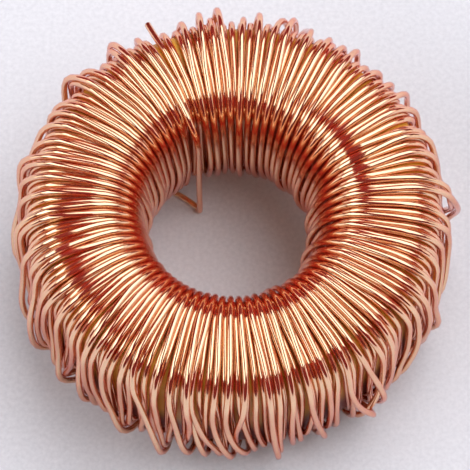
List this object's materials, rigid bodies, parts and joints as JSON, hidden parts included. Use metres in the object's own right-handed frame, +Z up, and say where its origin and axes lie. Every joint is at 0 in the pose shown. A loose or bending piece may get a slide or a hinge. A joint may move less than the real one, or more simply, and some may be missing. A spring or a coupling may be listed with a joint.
{
  "type": "toroidal inductor",
  "caption": "Toroidal inductor: a coated ring of pressed iron powder wound all round with enamelled copper wire, with its two short ends.",
  "frame": {"origin": "on the floor, under the middle of the ring", "axes": "+Z up along the axis of the ring; the wire starts and ends at the back left, between +Y and -X"},
  "size_m": [0.031, 0.0314, 0.0144],
  "materials": {
    "core_coating": "satin coating",
    "enamelled_copper": "clear enamel over drawn copper"
  },
  "bodies": {
    "root": {"core": "core_coating", "winding": "enamelled_copper"}
  },
  "joints": []
}
